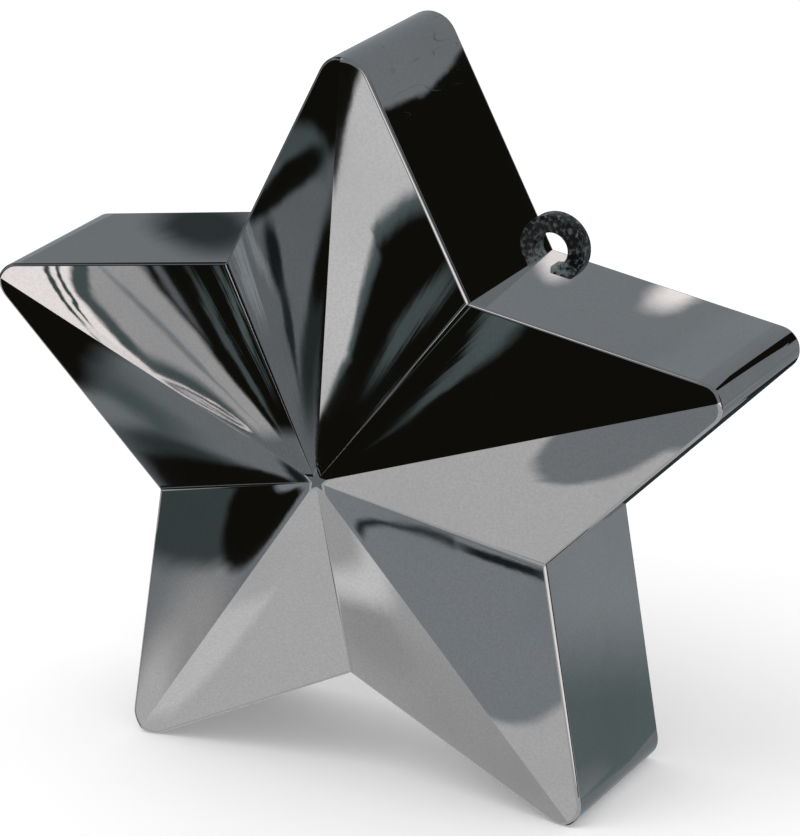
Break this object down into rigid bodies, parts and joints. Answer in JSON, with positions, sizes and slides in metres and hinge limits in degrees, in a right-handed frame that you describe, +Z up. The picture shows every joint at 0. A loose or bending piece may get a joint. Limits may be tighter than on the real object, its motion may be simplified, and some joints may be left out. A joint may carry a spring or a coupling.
{
  "type": "balloon weight",
  "caption": "Hollow faceted star with a black mirror finish and a sand filling, standing on its lower points, with a small loop for tying balloon ribbons.",
  "frame": {"origin": "on the floor under the middle of the star, at the centre of its box", "axes": "+Z up, +X to the right seen from the faceted front, the front faces -Y"},
  "size_m": [0.1148, 0.035, 0.1083],
  "materials": {
    "black_mirror_plating": "polished",
    "dull_dark_plating": "satin",
    "black_cover_plastic": "satin",
    "black_plug_plastic": "satin",
    "sand": "matte"
  },
  "bodies": {
    "star": {"front_shell": "black_mirror_plating", "back_cover": "black_cover_plastic", "ribbon_loop": "dull_dark_plating", "sand_fill": "sand"},
    "plug": {"filler_plug": "black_plug_plastic"}
  },
  "joints": [
    {"name": "plug_pull", "type": "slide", "parent": "star", "child": "plug", "axis": [0, 1, 0], "range_m": [0, 0.006]}
  ]
}
